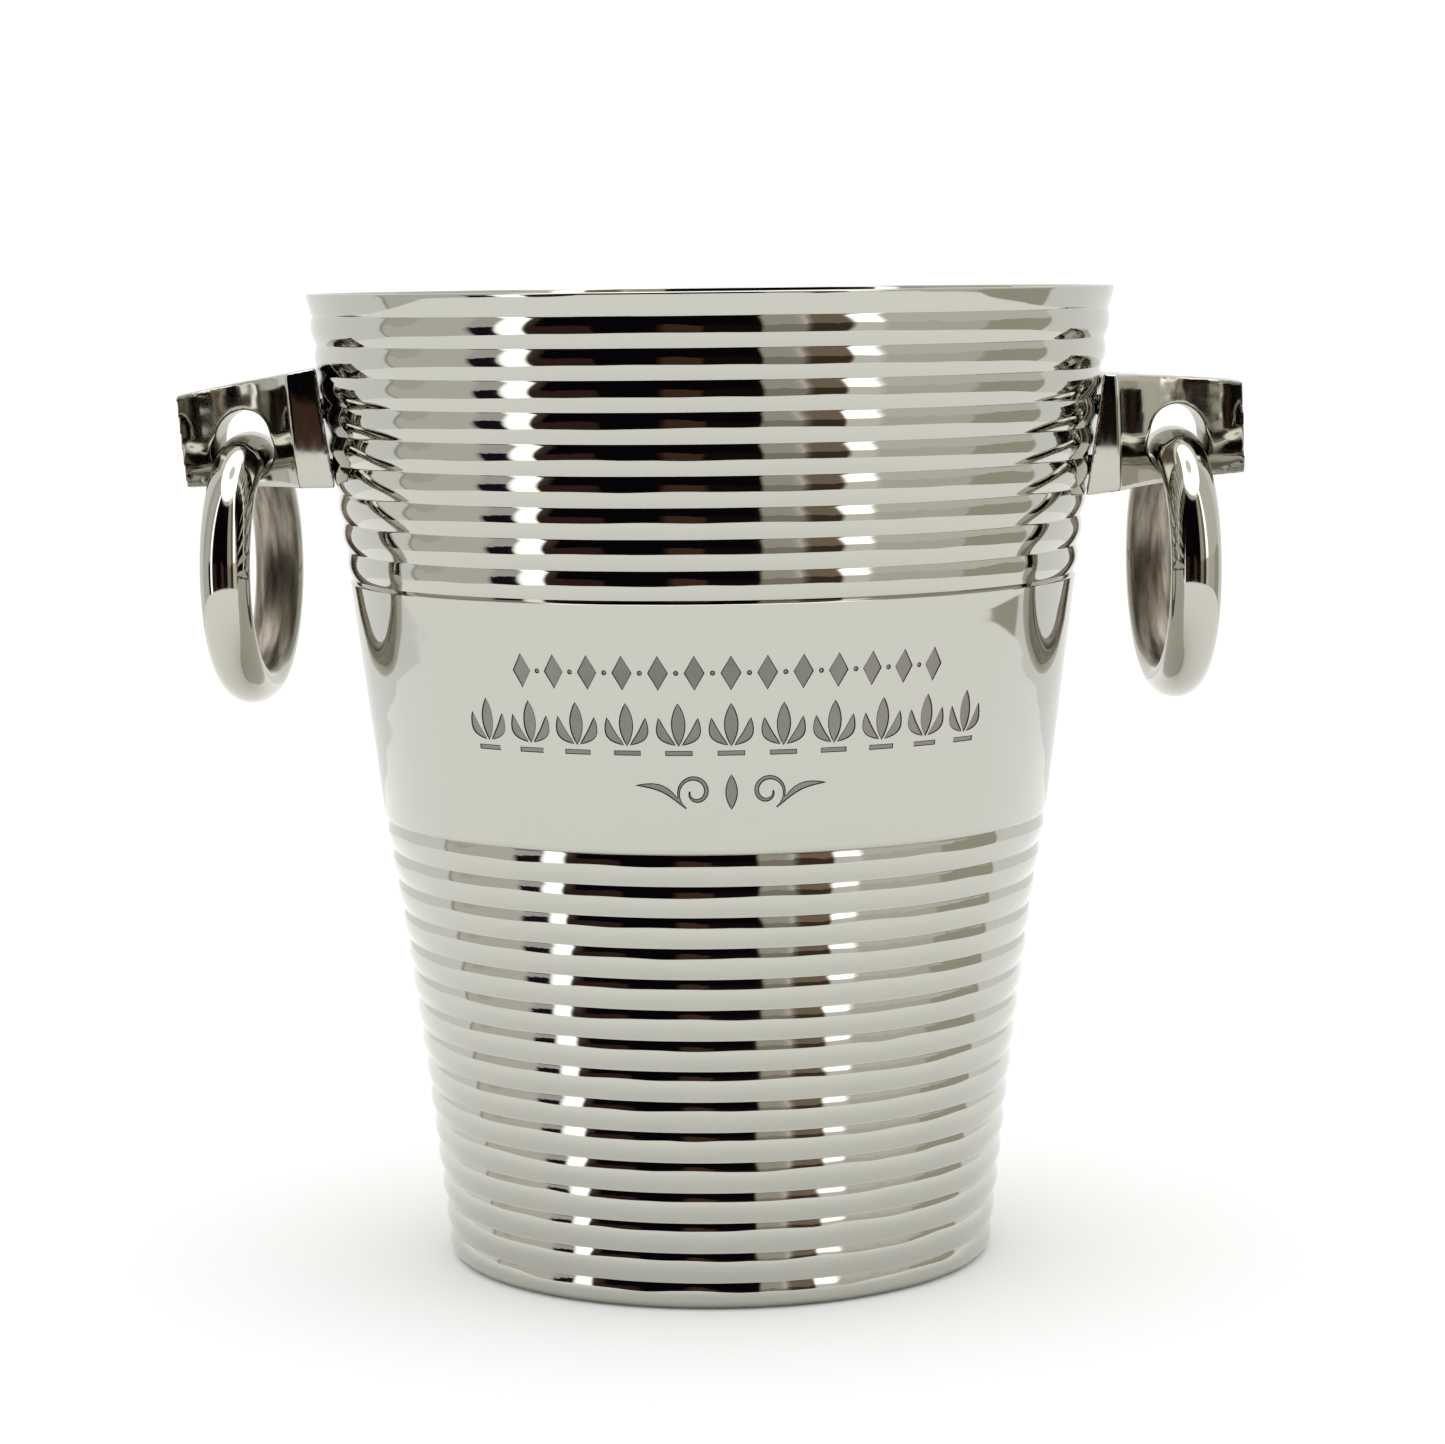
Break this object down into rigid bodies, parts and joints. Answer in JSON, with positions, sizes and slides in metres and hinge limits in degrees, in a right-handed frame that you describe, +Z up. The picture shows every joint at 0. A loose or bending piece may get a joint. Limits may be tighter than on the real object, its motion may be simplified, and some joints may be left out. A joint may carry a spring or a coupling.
{
  "type": "champagne bucket",
  "caption": "Tapered, ribbed metal champagne bucket with a plain engraved band and a loose ring handle hanging from a waisted lug on each side.",
  "frame": {"origin": "middle of the flat base, on the plane it stands on", "axes": "+Z up through the mouth, the two handles lie along X, and -Y is the front of the plain band"},
  "size_m": [0.2628, 0.2, 0.242],
  "materials": {
    "polished_nickel": "nickel plated aluminium, mirror polished",
    "cast_nickel": "nickel plated aluminium casting, hand ground and polished",
    "screw_steel": "turned stainless steel",
    "washer_steel": "stamped stainless steel"
  },
  "bodies": {
    "bucket": {"bucket_shell": "polished_nickel", "left_lug": "cast_nickel", "right_lug": "cast_nickel", "left_lower_screw": "screw_steel", "left_lower_washer": "washer_steel", "left_upper_screw": "screw_steel", "left_upper_washer": "washer_steel", "right_lower_screw": "screw_steel", "right_lower_washer": "washer_steel", "right_upper_screw": "screw_steel", "right_upper_washer": "washer_steel"},
    "left_ring": {"left_ring": "polished_nickel"},
    "right_ring": {"right_ring": "polished_nickel"}
  },
  "joints": [
    {"name": "left_ring_swing", "type": "hinge", "parent": "bucket", "child": "left_ring", "pos_m": [-0.11506, 0, 0.2035], "axis": [0.1305, 0.9914, 0], "range_deg": [-20, 190]},
    {"name": "right_ring_swing", "type": "hinge", "parent": "bucket", "child": "right_ring", "pos_m": [0.11506, 0, 0.2023], "axis": [0.0941, -0.9956, 0], "range_deg": [-20, 190]}
  ]
}
